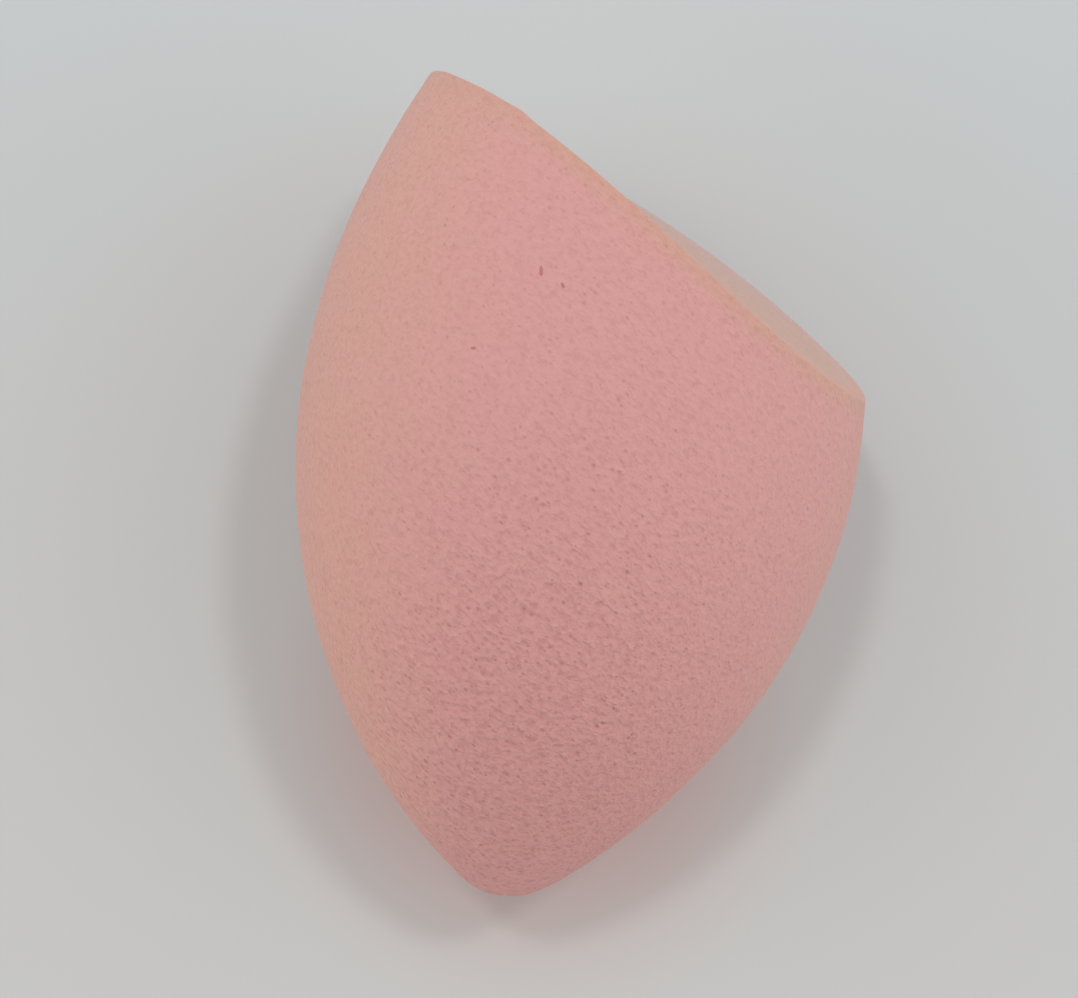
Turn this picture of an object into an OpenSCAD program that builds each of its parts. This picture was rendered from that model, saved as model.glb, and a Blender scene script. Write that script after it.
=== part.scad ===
// Makeup sponge: a plump, egg-shaped foam sponge with a blunt tip and a flat face sliced across its other end.
// It is drawn lying on its side, as it comes to rest, on the small flat where the foam gives.
// The origin is the middle of that flat. +Z is up, +Y runs from the tip towards the sliced end, and +X is the
// side where the slice comes nearest to the tip.

/* [Moulded form] */
// Diameter at the belly, the widest place
belly_d = 42; // [36:0.5:50]
// From the tip to the belly, along the axis of the form
belly_reach = 37.2; // [30:0.1:42]
// From the tip to the far edge of the slice, along the same axis
long_side = 61.5; // [54:0.1:68]
// Radius of the blunt rounded tip
tip_r = 5; // [3:0.1:8]
// Radius of the curve that runs from the belly to the sliced end
shoulder_r = 48.2; // [42:0.1:80]

/* [Slice] */
// Angle between the sliced face and one cut square to the axis
slice_angle = 26.5; // [0:0.1:32]

/* [Skin] */
// Thickness of the close-pored skin that forms against the mould
skin_t = 0.6; // [0.3:0.1:1.5]

/* [Lie] */
// How far the axis leans, tip down, when the sponge lies still
lean_angle = 7.5; // [0:0.5:12]
// How deep the foam is flattened where it lies on the table
flat_depth = 0.5; // [0.3:0.1:1]

/* [Hidden] */
$fn = 180;
// How far a cutter, or a form that is to be cut, runs past the cut
overrun = 2;
// Powder pink of the skin, and the greyer tone of the bare foam in the slice
skin_tint = "#CE9C94";
core_tint = "#C2A59B";

belly_r = belly_d / 2;
// The flank is one arc: it touches the round of the tip and runs parallel to the axis at the belly
flank_r = (belly_r ^ 2 - tip_r ^ 2 + (belly_reach - tip_r) ^ 2) / (2 * (belly_r - tip_r));
// Radius at the far edge of the slice
slice_edge_r = belly_r - shoulder_r + sqrt(shoulder_r ^ 2 - (long_side - belly_reach) ^ 2);

// The form leans until a point of the flank touches the table, and that point is over the origin
flank_centre_rise = flank_r - belly_r;
belly_y = flank_centre_rise * sin(lean_angle);
belly_z = flank_r - flat_depth - flank_centre_rise * cos(lean_angle);

// Half of the form's outline, drawn in by inset all round, with the axis upright and the tip at the foot.
// Its three arcs, of the tip, the flank and the shoulder, run on into each other. The flank's goes a little way
// past the belly, where it is as good as the shoulder's, so that the two are one.
module half_outline(inset) {
    tip_join = tip_r - (tip_r - inset) * (belly_reach - tip_r) / (flank_r - tip_r);
    intersection() {
        translate([0, tip_r]) circle(r = tip_r - inset);
        square([tip_r, 2 * tip_r]);
    }
    intersection() {
        translate([belly_r - flank_r, belly_reach]) circle(r = flank_r - inset);
        translate([0, tip_join]) square([belly_r, belly_reach - tip_join + overrun]);
    }
    intersection() {
        translate([belly_r - shoulder_r, belly_reach]) circle(r = shoulder_r - inset);
        translate([0, belly_reach]) square([belly_r, long_side - belly_reach + overrun + inset]);
    }
}

// Lays what is drawn along the axis, with the tip at the origin and +Y towards the sliced end, as the sponge lies
module lay_down() {
    translate([0, belly_y, belly_z]) rotate([lean_angle, 0, 0]) translate([0, -belly_reach, 0]) children();
}

// The form as it leaves the mould, drawn in by inset all round and flattened that much above the table
module moulded_form(inset) {
    difference() {
        lay_down() rotate([-90, 0, 0]) rotate_extrude() half_outline(inset);
        translate([-long_side, -long_side, inset - long_side]) cube([2 * long_side, 2 * long_side, long_side]);
    }
}

// All that the slice takes off, beyond one slanted plane
module slice() {
    lay_down() translate([-slice_edge_r, long_side, 0]) rotate([0, 0, -slice_angle])
        translate([-long_side, 0, -long_side]) cube([3 * long_side, 2 * long_side, 2 * long_side]);
}

// The denser outer foam, one open shell that ends at the rim of the slice
module moulded_skin() {
    color(skin_tint) difference() {
        moulded_form(0);
        moulded_form(skin_t);
        slice();
    }
}

// The open-celled foam that fills the skin and is bare in the slice
module foam_core() {
    color(core_tint) difference() {
        moulded_form(skin_t);
        slice();
    }
}

moulded_skin();
foam_core();
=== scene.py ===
import functools
import math

import bmesh
import bpy
from mathutils import Matrix, Vector, noise


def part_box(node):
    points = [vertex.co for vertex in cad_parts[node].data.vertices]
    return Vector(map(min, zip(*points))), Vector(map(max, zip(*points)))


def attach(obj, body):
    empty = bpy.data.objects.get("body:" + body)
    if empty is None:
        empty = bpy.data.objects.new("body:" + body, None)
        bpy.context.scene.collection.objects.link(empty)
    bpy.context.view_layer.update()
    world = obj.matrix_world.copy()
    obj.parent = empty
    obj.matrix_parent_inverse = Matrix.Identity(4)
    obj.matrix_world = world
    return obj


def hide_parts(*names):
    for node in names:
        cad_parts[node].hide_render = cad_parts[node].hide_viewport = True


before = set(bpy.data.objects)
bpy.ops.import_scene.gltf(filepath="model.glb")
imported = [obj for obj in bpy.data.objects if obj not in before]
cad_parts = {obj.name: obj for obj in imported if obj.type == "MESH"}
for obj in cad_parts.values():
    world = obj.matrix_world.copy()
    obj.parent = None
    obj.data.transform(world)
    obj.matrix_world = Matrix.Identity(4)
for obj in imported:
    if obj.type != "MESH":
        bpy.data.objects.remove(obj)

scene = bpy.context.scene
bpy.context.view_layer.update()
mm = 0.001
tiny = 1e-9


# Camera. The photograph looks straight down on the sponge from some 190 mm above the paper,
# with its frame turned 10 degrees. The lens and the place follow from the outline and its perspective.
camera_data = bpy.data.cameras.new("camera")
camera_data.sensor_width = 36
camera_data.lens = 75.2
camera_data.clip_start = 10 * mm
camera = bpy.data.objects.new("camera", camera_data)
camera.location = (-2.0 * mm, -3.1 * mm, 190.7 * mm)
camera.rotation_euler = (0, 0, math.radians(10))
scene.collection.objects.link(camera)
scene.camera = camera


# Moulded skin. The foam that set against the mould: denser, powder pink, with small closed pores.
# It is one shell, open only where the sponge was sliced, and it is grown together with the foam inside.
# Its outline is three arcs, of the tip, the flank and the shoulder, drawn upright along +Y and spun about Y.
skin_low, skin_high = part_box("moulded_skin")
belly_r = (skin_high.x - skin_low.x) / 2
belly_reach = 37.2 * mm
long_side = 61.5 * mm
tip_r = 5 * mm
shoulder_r = 48.2 * mm
skin_t = 0.6 * mm
lean = math.radians(7.5)
flat_depth = 0.5 * mm
rim_r = 0.25 * mm

# How finely the form is drawn: the steps round it and the sectors in which they are spun, and the steps along
# each arc of the outside and of the wall that the skin and the core share. Points within the seam gap are
# joined.
around = 384
sectors = 8
nose_steps = 12
flank_steps = 124
shoulder_steps = 74
rim_steps = 6
wall_steps = (6, 12, 3)
seam_gap = 0.0005 * mm

flank_r = (belly_r ** 2 - tip_r ** 2 + (belly_reach - tip_r) ** 2) / (2 * (belly_r - tip_r))
flank_x = belly_r - flank_r
shoulder_x = belly_r - shoulder_r
nose_turn = math.atan2(-flank_x, belly_reach - tip_r)
flank_turn = math.pi / 2 - nose_turn
tip_join = tip_r - tip_r * math.cos(nose_turn)
shoulder_rise = long_side - belly_reach
rim_x = shoulder_x + math.sqrt((shoulder_r - rim_r) ** 2 - (shoulder_rise - rim_r) ** 2)
shoulder_turn = math.asin((shoulder_rise - rim_r) / (shoulder_r - rim_r))
inner_turn = math.asin(shoulder_rise / (shoulder_r - skin_t))
joint_x = shoulder_x + (shoulder_r - skin_t) * math.cos(inner_turn)

# The cut was made freehand. These say how far up the axis it passes, how steeply it slopes, and how much it
# bows, twists and curls at the edge of a circle of slice_r. At its far end, where the knife went in and
# slipped, it also leaves a nib, a low swell and a ridge: the height of each, and its middle and width across,
# as parts of slice_r. Where the knife leaves the form is worked out in rounds, for directions told apart to
# so many digits, and the outside follows the knife's unevenness within the face blend.
slice_r = 14.5 * mm
slice_reach = 54.09 * mm
slice_slope = 6.63 * mm
slice_lift = 0.15 * mm
slice_bow = 0.79 * mm
slice_hollow = 0.29 * mm
slice_twist = 1.47 * mm
slice_curl = 0.36 * mm
slice_flare = 0.36 * mm
knife_marks = ((0.33 * mm, -1.02, 0.13), (0.15 * mm, -0.70, 0.25), (0.14 * mm, -0.54, 0.05))
knife_rounds = 12
turn_digits = 5
face_blend = 1 * mm


def ease(t):
    """Rises smoothly from 0 to 1 as t does."""
    t = min(1, max(0, t))
    return t * t * (3 - 2 * t)


def fade(place, middle, width):
    """Falls off smoothly from 1 on both sides of a middle."""
    return math.exp(-((place - middle) / width) ** 2)


def arc(bm, start, centre, turn, steps):
    """Spins a vertex of the outline about a centre, and gives back the vertex where the arc ends."""
    spun = bmesh.ops.spin(bm, geom=[start], cent=(*centre, 0), axis=(0, 0, 1), angle=turn, steps=steps)
    return next(part for part in spun["geom_last"] if isinstance(part, bmesh.types.BMVert))


def inner_arcs(bm, start, steps):
    """Draws the wall that the skin and the core share, from the slice back to the tip."""
    end = arc(bm, start, (shoulder_x, belly_reach), -inner_turn, steps[0])
    end = arc(bm, end, (flank_x, belly_reach), -flank_turn, steps[1])
    return arc(bm, end, (0, tip_r), -nose_turn, steps[2])


def spin_round(bm, steps):
    """Spins the outline about the axis through one sector, copies that round, and joins the seams."""
    sector = 2 * math.pi / sectors
    axis = {"cent": (0, 0, 0), "axis": (0, 1, 0)}
    bmesh.ops.spin(bm, geom=bm.verts[:] + bm.edges[:], angle=sector, steps=steps // sectors, **axis)
    drawn = bm.verts[:] + bm.edges[:] + bm.faces[:]
    rest = 2 * math.pi - sector
    bmesh.ops.spin(bm, geom=drawn, angle=rest, steps=sectors - 1, use_duplicate=True, **axis)
    bmesh.ops.remove_doubles(bm, verts=bm.verts, dist=seam_gap)


def form_radius(reach):
    """The radius of the moulded form at a place along its axis."""
    if reach < tip_join:
        return math.sqrt(max(0, tip_r ** 2 - (tip_r - reach) ** 2))
    if reach < belly_reach:
        return flank_x + math.sqrt(flank_r ** 2 - (belly_reach - reach) ** 2)
    return shoulder_x + math.sqrt(shoulder_r ** 2 - (reach - belly_reach) ** 2)


def knife_reach(x, z):
    """How far along the axis the knife passes, at a place x across and z up from the axis."""
    u = x / slice_r
    v = z / slice_r
    even = slice_slope * u + slice_lift * v + slice_bow * u * u - slice_hollow * v * v
    uneven = slice_curl * u * u * v - slice_twist * u * v - slice_flare * u * v * v
    marks = sum(height * fade(u, middle, width) for height, middle, width in knife_marks)
    return slice_reach - even + uneven + marks


@functools.cache
def rim_reach(turn):
    """Where the knife leaves the form, in the direction of a turn about the axis."""
    reach = slice_reach
    for _ in range(knife_rounds):
        radius = form_radius(reach)
        reach = knife_reach(radius * math.cos(turn), radius * math.sin(turn))
    return reach


# No foam leaves its mould quite true. It swells and sinks by a tenth of a millimetre every centimetre or so,
# and is finely dimpled. On its +X side this one stands out beside the tip and at the belly, and is a little
# flat between the two. On the other side it stands out at the slice.
swell_height = 0.12 * mm
swell_length = 11 * mm
tip_swell = 0.36 * mm
tip_swell_reach = 1.5 * mm
tip_swell_width = 2.5 * mm
flank_dent = 0.20 * mm
flank_dent_reach = 12 * mm
flank_dent_width = 4.5 * mm
belly_swell = 0.12 * mm
belly_swell_reach = 34 * mm
belly_swell_width = 9 * mm
heel_swell = 0.43 * mm
heel_swell_reach = 62 * mm
heel_swell_width = 5.7 * mm
dimple_height = 0.012 * mm
dimple_length = 1.1 * mm


def swollen(co):
    """Moves a point of the upright form out from the axis, or in towards it, by the swells and dents."""
    radius = max(tiny, co.xz.length)
    dents = (
        tip_swell * fade(co.y, tip_swell_reach, tip_swell_width)
        - flank_dent * fade(co.y, flank_dent_reach, flank_dent_width)
        + belly_swell * fade(co.y, belly_swell_reach, belly_swell_width)
    )
    heel = heel_swell * fade(co.y, heel_swell_reach, heel_swell_width)
    uneven = swell_height * noise.noise(co / swell_length) + dimple_height * noise.noise(co / dimple_length)
    push = uneven + max(0, co.x / radius) ** 2 * dents + max(0, -co.x / radius) ** 2 * heel
    grow = 1 + push * ease(radius / tip_swell_width) / radius
    return Vector((co.x * grow, co.y, co.z * grow))


def slant(co):
    """Slides a point along the upright form, so that its square end becomes the knife's slanted one."""
    edge = rim_reach(round(math.atan2(co.z, co.x), turn_digits))
    reach = co.y + (edge - long_side) * ease(co.y / long_side)
    grow = 1
    if co.y > tip_join:
        grow = form_radius(reach) / form_radius(co.y)
    place = swollen(Vector((co.x * grow, reach, co.z * grow)))
    at_face = ease(1 + (co.y - long_side) / face_blend)
    place.y += (knife_reach(place.x, place.z) - edge) * at_face
    return place


# The form leans until a point of the flank touches the table, and that point is over the origin.
lie = (
    Matrix.Translation((0, -flank_x * math.sin(lean), flank_r - flat_depth + flank_x * math.cos(lean)))
    @ Matrix.Rotation(lean, 4, "X")
    @ Matrix.Translation((0, -belly_reach, 0))
)


# The foam is peach at its -X side. At the edge of +X the peach is painted sheen, for the paler look of the
# foam where it turns steeply away. Light has turned the foam straw along the rim, most where it faces up. The
# starts and the width are shares of the form's radius there, or of the blend radius where the form is
# narrower than that.
peach_start = 0.2
peach_width = 0.75
painted_sheen_start = 0.75
painted_sheen_most = 0.5
blend_r = 12 * mm
straw_middle = 0.75
straw_reach = 2.2 * mm


def lay_down(bm, inset):
    """Gives the form its slice, lays it on its side and flattens it where it lies, inset above the table.
    It notes on each point how peach the foam is, with the painted sheen at its +X edge, and how strawy it has
    turned."""
    peach_and_painted_sheen = bm.verts.layers.float.new("peach_and_painted_sheen")
    strawy = bm.verts.layers.float.new("strawy")
    for vert in bm.verts:
        lit = ease(straw_middle + vert.co.z / (2 * joint_x))
        side = vert.co.x / max(blend_r, vert.co.xz.length)
        near_peach = ease((-side - peach_start) / peach_width)
        # Painted sheen: peach at the steep edge of +X.
        painted_edge_sheen = painted_sheen_most * ease((side - painted_sheen_start) / (1 - painted_sheen_start))
        vert[peach_and_painted_sheen] = near_peach + painted_edge_sheen
        vert[strawy] = lit * ease(1 - (long_side - vert.co.y) / straw_reach)
        vert.co = lie @ slant(vert.co)
        vert.co.z = max(vert.co.z, inset)


sharp_angle = math.radians(65)


def finish_mesh(bm, name):
    """Turns a closed bmesh into an object at the origin, smoothly shaded but for its sharp edges."""
    bmesh.ops.recalc_face_normals(bm, faces=bm.faces)
    for face in bm.faces:
        face.smooth = True
    for edge in bm.edges:
        edge.smooth = edge.calc_face_angle() < sharp_angle
    mesh = bpy.data.meshes.new(name)
    bm.to_mesh(mesh)
    bm.free()
    piece = bpy.data.objects.new(name, mesh)
    scene.collection.objects.link(piece)
    return piece


bm = bmesh.new()
end = arc(bm, bm.verts.new((0, 0, 0)), (0, tip_r), nose_turn, nose_steps)
end = arc(bm, end, (flank_x, belly_reach), flank_turn, flank_steps)
end = arc(bm, end, (shoulder_x, belly_reach), shoulder_turn, shoulder_steps)
end = arc(bm, end, (rim_x, long_side - rim_r), math.pi / 2 - shoulder_turn, rim_steps)
end = bmesh.ops.extrude_vert_indiv(bm, verts=[end])["verts"][0]
end.co = (joint_x, long_side, 0)
inner_arcs(bm, end, wall_steps)
spin_round(bm, around)
lay_down(bm, 0)
skin = finish_mesh(bm, "moulded_skin_foam")


def add_node(tree, kind, settings, inputs):
    """Adds a shader node, sets its settings, and sets or links its inputs, by name or by number."""
    node = tree.nodes.new(kind)
    for name, value in settings.items():
        setattr(node, name, value)
    for name, value in inputs.items():
        if isinstance(value, bpy.types.NodeSocket):
            tree.links.new(value, node.inputs[name])
        else:
            node.inputs[name].default_value = value
    return node


def maths(tree, operation, *values):
    """Adds a Math node and gives back its result."""
    return add_node(tree, "ShaderNodeMath", {"operation": operation}, dict(enumerate(values))).outputs[0]


def mix_colours(tree, share, first, second, blend="MIX"):
    """Mixes two colours, which a mix node has as its seventh and eighth inputs and its third output."""
    settings = {"data_type": "RGBA", "blend_type": blend}
    return add_node(tree, "ShaderNodeMix", settings, {0: share, 6: first, 7: second}).outputs[2]


def multiplied(tree, tone, pore_painted_shading):
    """Multiplies one colour by another."""
    return mix_colours(tree, 1, tone, pore_painted_shading, "MULTIPLY")


def mapped(tree, vector, **mapping):
    """Moves, turns or scales a vector."""
    return add_node(tree, "ShaderNodeMapping", {}, {"Vector": vector, **mapping}).outputs["Vector"]


def place_on(tree):
    """The place on a piece, in metres."""
    return tree.nodes.new("ShaderNodeTexCoord").outputs["Object"]


def along_y(tree, vector):
    """How far along Y a place is."""
    return add_node(tree, "ShaderNodeSeparateXYZ", {}, {"Vector": vector}).outputs["Y"]


def distance(tree, first, second):
    """The distance between two places."""
    measured = add_node(tree, "ShaderNodeVectorMath", {"operation": "DISTANCE"}, {0: first, 1: second})
    return measured.outputs["Value"]


def stepped(tree, value, start, end, low, high):
    """Leads a value smoothly from low to high between a start and an end."""
    inputs = {"Value": value, "From Min": start, "From Max": end, "To Min": low, "To Max": high}
    settings = {"interpolation_type": "SMOOTHSTEP"}
    return add_node(tree, "ShaderNodeMapRange", settings, inputs).outputs["Result"]


def noted(tree, name):
    """A value that is noted on the points of a piece."""
    return add_node(tree, "ShaderNodeAttribute", {"attribute_name": name}, {}).outputs["Fac"]


def pore_pattern(tree, inputs):
    """The pores that the node group makes with a material's own values."""
    return add_node(tree, "ShaderNodeGroup", {"node_tree": pores}, inputs).outputs["Pore"]


# Pores: a scatter of small round or drawn-out hollows at about one spacing from each other, in a share of the
# cells of a Voronoi pattern. The place is in millimetres. No two are alike in width or depth: the least and
# the spread are shares of the width that is asked for, and of the full depth.
least_width = 0.65
width_spread = 0.7
least_depth = 0.25

pores = bpy.data.node_groups.new("pores", "ShaderNodeTree")
pores.interface.new_socket("Place", in_out="INPUT", socket_type="NodeSocketVector")
for name in ("Spacing", "Width", "Share"):
    pores.interface.new_socket(name, in_out="INPUT", socket_type="NodeSocketFloat")
pores.interface.new_socket("Pore", in_out="OUTPUT", socket_type="NodeSocketFloat")
given = pores.nodes.new("NodeGroupInput").outputs
fineness = maths(pores, "DIVIDE", 1, given["Spacing"])
pattern = {"Vector": given["Place"], "Scale": fineness}
cells = add_node(pores, "ShaderNodeTexVoronoi", {"feature": "F1"}, pattern)
chance = add_node(pores, "ShaderNodeSeparateColor", {}, {"Color": cells.outputs["Color"]})
reach = maths(pores, "MULTIPLY", cells.outputs["Distance"], given["Spacing"])
widening = maths(pores, "MULTIPLY_ADD", chance.outputs["Green"], width_spread, least_width)
width = maths(pores, "MULTIPLY", given["Width"], widening)
hollow = stepped(pores, reach, 0, width, 1, 0)
there = maths(pores, "LESS_THAN", chance.outputs["Red"], given["Share"])
depth = maths(pores, "MULTIPLY_ADD", chance.outputs["Blue"], 1 - least_depth, least_depth)
result = maths(pores, "MULTIPLY", maths(pores, "MULTIPLY", hollow, depth), there)
pores.links.new(result, pores.nodes.new("NodeGroupOutput").inputs["Pore"])

# The colours are linear. The pores are drawn out along the way the foam ran in the mould, which shows in the
# photograph as short dashes that slope down to the right. They are most open at one worn place, and bubbles
# have broken through the skin as three larger pores. Each of these is an oval about two points: the way from
# one point to the other, by way of its edge, is longer than the straight one by the detour. All places and
# lengths are in millimetres here, and a noise's fineness is in patches to the millimetre. Its kind is its
# detail and its roughness.
pink = (0.608, 0.302, 0.286, 1)
peach = (0.592, 0.314, 0.257, 1)
tip_peach = (0.646, 0.326, 0.262, 1)
straw = (0.567, 0.312, 0.250, 1)
rose = (0.624, 0.285, 0.267, 1)
# Painted shade: the pores and trails are darkened in colour as if shaded in their hollows, and the three
# larger pores are darker and redder.
pore_painted_shade = (0.80, 0.68, 0.67, 1)
large_pore_painted_shade = (0.78, 0.56, 0.58, 1)
run_turn = math.radians(36)
run_stretch = 0.72
pore_spacing = 0.47
pore_width = 0.16
pore_share = 0.95
pore_depth = 0.82
trail_fineness = 2.3
trail_noise = (2, 0.5)
trail_start = 0.52
trail_end = 0.28
trail_depth = 0.30
grain_fineness = 2.4
grain_noise = (2, 0.55)
grain_height = 3.8
# Painted light and shade on the grain: its ridges lighter and its troughs darker.
grain_painted_shade = (0.932, 0.91, 0.91, 1)
grain_painted_highlight = (1.068, 1.09, 1.09, 1)
worn_place = (0, -22, 8)
worn_scale = (1.6, 1, 0.3)
worn_reach = 34
worn_most = 2.0
worn_least = 0.84
large_pores = (
    ((-4.55, 12.15, 41.13), (-4.43, 11.51, 41.23)),
    ((-3, 11.25, 41.51), (-2.82, 10.95, 41.57)),
    ((-8.23, 6.01, 40.26), (-7.87, 6.09, 40.39)),
)
large_pore_detour = 0.08
large_pore_depth = 0.8
rose_start = 5
rose_end = -30
cloud_fineness = 0.25
cloud_noise = (3, 0.55)
cloud_strength = 0.7
relief_height = 0.05 * mm
white = (1, 1, 1, 1)

foam_roughness = 0.95
foam_specular = 0.2
foam_sheen = 0.15
foam_sheen_roughness = 0.6


def foam_material(name):
    """Starts a matt material, with the faint bloom of foam that is seen along its surface."""
    material = bpy.data.materials.new(name)
    material.use_nodes = True
    inputs = material.node_tree.nodes["Principled BSDF"].inputs
    inputs["Roughness"].default_value = foam_roughness
    inputs["Specular IOR Level"].default_value = foam_specular
    inputs["Sheen Weight"].default_value = foam_sheen
    inputs["Sheen Roughness"].default_value = foam_sheen_roughness
    return material


def noise_value(tree, where, fineness, kind):
    """A smooth noise of about a half."""
    values = {"Vector": where, "Scale": fineness, "Detail": kind[0], "Roughness": kind[1]}
    return add_node(tree, "ShaderNodeTexNoise", {}, values).outputs["Fac"]


skin_material = foam_material("powder pink skin")
tree = skin_material.node_tree
shader = tree.nodes["Principled BSDF"]
place = mapped(tree, place_on(tree), Scale=(1 / mm, 1 / mm, 1 / mm))
run = mapped(tree, mapped(tree, place, Rotation=(0, 0, run_turn)), Scale=(run_stretch, 1, 1))
tipward = stepped(tree, along_y(tree, place), rose_start, rose_end, 0, 1)
from_worn = distance(tree, mapped(tree, place, Scale=worn_scale), worn_place)
worn = stepped(tree, from_worn, 0, worn_reach, worn_most, worn_least)

skin_pores = {"Place": run, "Spacing": pore_spacing, "Width": pore_width, "Share": pore_share}
dots = pore_pattern(tree, skin_pores)
fine = noise_value(tree, run, trail_fineness, trail_noise)
grain = noise_value(tree, run, grain_fineness, grain_noise)
trails = stepped(tree, fine, trail_start, trail_end, 0, trail_depth)
hollows = maths(tree, "MAXIMUM", trails, maths(tree, "MULTIPLY", dots, pore_depth))
hollows = maths(tree, "MULTIPLY", hollows, worn)
deep = 0
for upper, lower in large_pores:
    way = maths(tree, "ADD", distance(tree, place, upper), distance(tree, place, lower))
    straight = math.dist(upper, lower)
    oval = stepped(tree, way, straight, straight + large_pore_detour, 1, 0)
    deep = maths(tree, "MAXIMUM", deep, oval)
hollows = maths(tree, "MAXIMUM", hollows, maths(tree, "MULTIPLY", deep, large_pore_depth))
ridges = maths(tree, "MULTIPLY", maths(tree, "SUBTRACT", grain, 0.5), worn)

clouds = noise_value(tree, run, cloud_fineness, cloud_noise)
cloud = maths(tree, "MULTIPLY_ADD", clouds, cloud_strength, -cloud_strength / 2)
# The peach share holds the painted sheen at the +X edge as well as the foam's own peach tone.
peach_and_sheen_share = maths(tree, "ADD", noted(tree, "peach_and_painted_sheen"), cloud)
tone = mix_colours(tree, tipward, pink, rose)
tone = mix_colours(tree, peach_and_sheen_share, tone, mix_colours(tree, tipward, peach, tip_peach))
tone = mix_colours(tree, noted(tree, "strawy"), tone, straw)
# Painted shade in the pores, the trails and the three larger pores.
pore_painted_shading = mix_colours(tree, deep, mix_colours(tree, hollows, white, pore_painted_shade), large_pore_painted_shade)
# Painted light and shade on the grain, following its ridges.
grain_painted_shading = mix_colours(tree, maths(tree, "ADD", ridges, 0.5), grain_painted_shade, grain_painted_highlight)
colour = multiplied(tree, multiplied(tree, tone, grain_painted_shading), pore_painted_shading)
height = maths(tree, "SUBTRACT", maths(tree, "MULTIPLY", ridges, grain_height), hollows)
relief = add_node(tree, "ShaderNodeBump", {}, {"Strength": 1, "Distance": relief_height, "Height": height})
tree.links.new(colour, shader.inputs["Base Color"])
tree.links.new(relief.outputs["Normal"], shader.inputs["Normal"])

skin.data.materials.append(skin_material)
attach(skin, "root")
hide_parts("moulded_skin")


# Foam core. The open-celled foam inside the skin, greyer and coarser, and grown together with it. It is bare
# only where the knife went through. Its face is a fan of small triangles in rings, with the opened cells
# pressed into it, and meets the wall to within the fan gap.
face_rings = 128
fan_gap = 0.002 * mm
sixth = math.pi / 3
cell_length = 0.42 * mm
cell_depth = 0.09 * mm
cell_wall = 0.5
cell_margin = 1.2 * mm
face_out = lie.to_3x3() @ Vector((slice_slope, slice_r, 0)).normalized()


def open_cells(bm):
    """Notes on each point of the upright face how deep an opened cell goes, fading out towards the edge."""
    sunk = bm.verts.layers.float.new("sunk")
    for vert in bm.verts:
        nearest = noise.voronoi(vert.co / cell_length)[0]
        cell = ease((nearest[1] - nearest[0]) / cell_wall)
        vert[sunk] = cell_depth * cell * ease((joint_x - vert.co.xz.length) / cell_margin)


bm = bmesh.new()
bmesh.ops.create_circle(bm, cap_ends=True, cap_tris=True, segments=6, radius=1)
bmesh.ops.subdivide_edges(bm, edges=bm.edges, cuts=face_rings - 1, use_grid_fill=True)
for vert in bm.verts:
    turn = math.atan2(vert.co.y, vert.co.x)
    within = (turn - sixth / 2) % sixth
    ring = vert.co.xy.length * math.cos(within - sixth / 2) / math.cos(sixth / 2)
    along = 0.5 + math.tan(within - sixth / 2) / math.tan(sixth / 2) / 2
    turn += along * sixth - within
    vert.co = (joint_x * ring * math.cos(turn), long_side, joint_x * ring * math.sin(turn))
open_cells(bm)
wall = bmesh.new()
inner_arcs(wall, wall.verts.new((joint_x, long_side, 0)), wall_steps)
spin_round(wall, 6 * face_rings)
wall_mesh = bpy.data.meshes.new("foam_core_wall")
wall.to_mesh(wall_mesh)
wall.free()
bm.from_mesh(wall_mesh)
bpy.data.meshes.remove(wall_mesh)
bmesh.ops.remove_doubles(bm, verts=bm.verts, dist=fan_gap)
lay_down(bm, skin_t)
sunk = bm.verts.layers.float["sunk"]
for vert in bm.verts:
    vert.co -= vert[sunk] * face_out
bm.verts.layers.float.remove(sunk)
core = finish_mesh(bm, "foam_core_foam")

# The bare foam is greyer than the skin, and it too has turned to straw where light reached it.
bare = (0.505, 0.347, 0.312, 1)
bare_straw = (0.522, 0.320, 0.258, 1)
# Painted shade: the opened cells are darkened as if shaded in their hollows.
cell_shade = (0.84, 0.80, 0.79, 1)
core_pore_spacing = 0.3
core_pore_width = 0.11

core_material = foam_material("bare foam")
tree = core_material.node_tree
shader = tree.nodes["Principled BSDF"]
place = mapped(tree, place_on(tree), Scale=(1 / mm, 1 / mm, 1 / mm))
core_pores = {"Place": place, "Spacing": core_pore_spacing, "Width": core_pore_width, "Share": 1}
cells = pore_pattern(tree, core_pores)
tone = mix_colours(tree, noted(tree, "strawy"), bare, bare_straw)
# The opened cells darkened with painted shade.
colour = multiplied(tree, tone, mix_colours(tree, cells, white, cell_shade))
depth = {"Strength": 1, "Distance": relief_height, "Height": cells}
relief = add_node(tree, "ShaderNodeBump", {"invert": True}, depth)
tree.links.new(colour, shader.inputs["Base Color"])
tree.links.new(relief.outputs["Normal"], shader.inputs["Normal"])

core.data.materials.append(core_material)
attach(core, "root")
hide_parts("foam_core")


# Paper and light. The sponge lies on pale paper, cooler in tone beyond the sliced end than at the tip, under
# two soft ceiling lights, one at each side of the camera, and the light of a white room.
paper_reach = 3
paper_roughness = 0.9
cool_paper = (0.550, 0.579, 0.585, 1)
warm_paper = (0.571, 0.572, 0.559, 1)
warm_reach = 60 * mm

# The paper round the tip is painted pink and darker: painted light that comes through the foam and off it,
# and painted shadow.
tip_painted_light_and_shadow = (0.94, 0.61, 0.57, 1)
blush_place = (1 * mm, -23 * mm, 0)
blush_reach = 27 * mm

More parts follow.
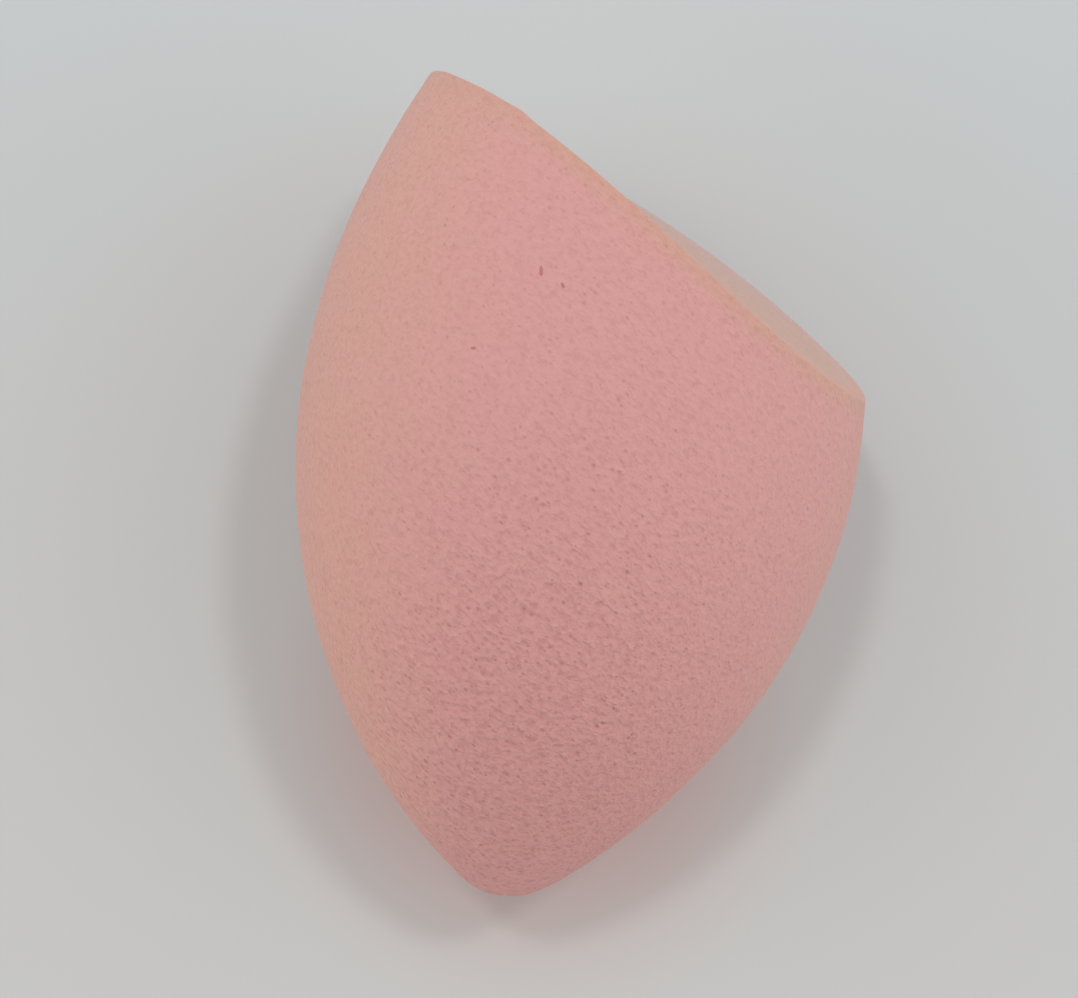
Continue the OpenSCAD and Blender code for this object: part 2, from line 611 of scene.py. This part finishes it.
bm = bmesh.new()
bmesh.ops.create_grid(bm, x_segments=1, y_segments=1, size=paper_reach)
paper_mesh = bpy.data.meshes.new("paper")
bm.to_mesh(paper_mesh)
bm.free()
paper = bpy.data.objects.new("paper", paper_mesh)
scene.collection.objects.link(paper)
paper_material = bpy.data.materials.new("pale paper")
paper_material.use_nodes = True
tree = paper_material.node_tree
shader = tree.nodes["Principled BSDF"]
shader.inputs["Roughness"].default_value = paper_roughness
place = place_on(tree)
warm = stepped(tree, along_y(tree, place), warm_reach, -warm_reach, 0, 1)
blushing = stepped(tree, distance(tree, place, blush_place), blush_reach, 0, 0, 1)
tone = mix_colours(tree, warm, cool_paper, warm_paper)
# Painted light and shadow on the paper round the tip.
paper_painted_light_and_shadow = mix_colours(tree, blushing, white, tip_painted_light_and_shadow)
tree.links.new(multiplied(tree, tone, paper_painted_light_and_shadow), shader.inputs["Base Color"])
paper_mesh.materials.append(paper_material)

light_distance = 0.6
light_size = 0.06
light_share = 0.138


def soft_light(name, direction, share):
    """An area light that gives its share of the light on the paper, from one direction."""
    data = bpy.data.lights.new(name, "AREA")
    data.shape = "DISK"
    data.size = light_size
    towards = Vector(direction).normalized()
    data.energy = share * (math.pi * light_distance) ** 2 / towards.z
    light = bpy.data.objects.new(name, data)
    light.location = towards * light_distance
    light.rotation_euler = towards.to_track_quat("Z", "Y").to_euler()
    scene.collection.objects.link(light)


soft_light("right ceiling light", (0.24, 0.37, 1), light_share)
soft_light("left ceiling light", (-0.23, 0.29, 1), light_share)

# The room is dim overhead, bright at both sides, and a little brighter beyond the sliced end than behind the
# tip. The camera sees it at one plain level.
room_level = 0.235
room_sides = 1.50
room_ends = 0.60
room_far_end = 0.14
room_seen = 0.57

world = bpy.data.worlds.new("white room")
world.use_nodes = True
tree = world.node_tree
direction = tree.nodes.new("ShaderNodeTexCoord").outputs["Generated"]
turned = mapped(tree, direction, Rotation=(0, 0, -camera.rotation_euler.z))
squares = add_node(tree, "ShaderNodeVectorMath", {"operation": "MULTIPLY"}, {0: turned, 1: turned})
squared = squares.outputs["Vector"]
dot = {"operation": "DOT_PRODUCT"}
walls = add_node(tree, "ShaderNodeVectorMath", dot, {0: squared, 1: (room_sides, room_ends, 0)})
far_end = add_node(tree, "ShaderNodeVectorMath", dot, {0: turned, 1: (0, room_far_end, 0)})
level = maths(tree, "ADD", walls.outputs["Value"], far_end.outputs["Value"])
level = maths(tree, "ADD", level, room_level)
seen = tree.nodes.new("ShaderNodeLightPath").outputs["Is Camera Ray"]
shown = add_node(tree, "ShaderNodeMix", {}, {0: seen, 2: level, 3: room_seen}).outputs[0]
tree.links.new(shown, tree.nodes["Background"].inputs["Color"])
scene.world = world
scene.view_settings.view_transform = "Standard"
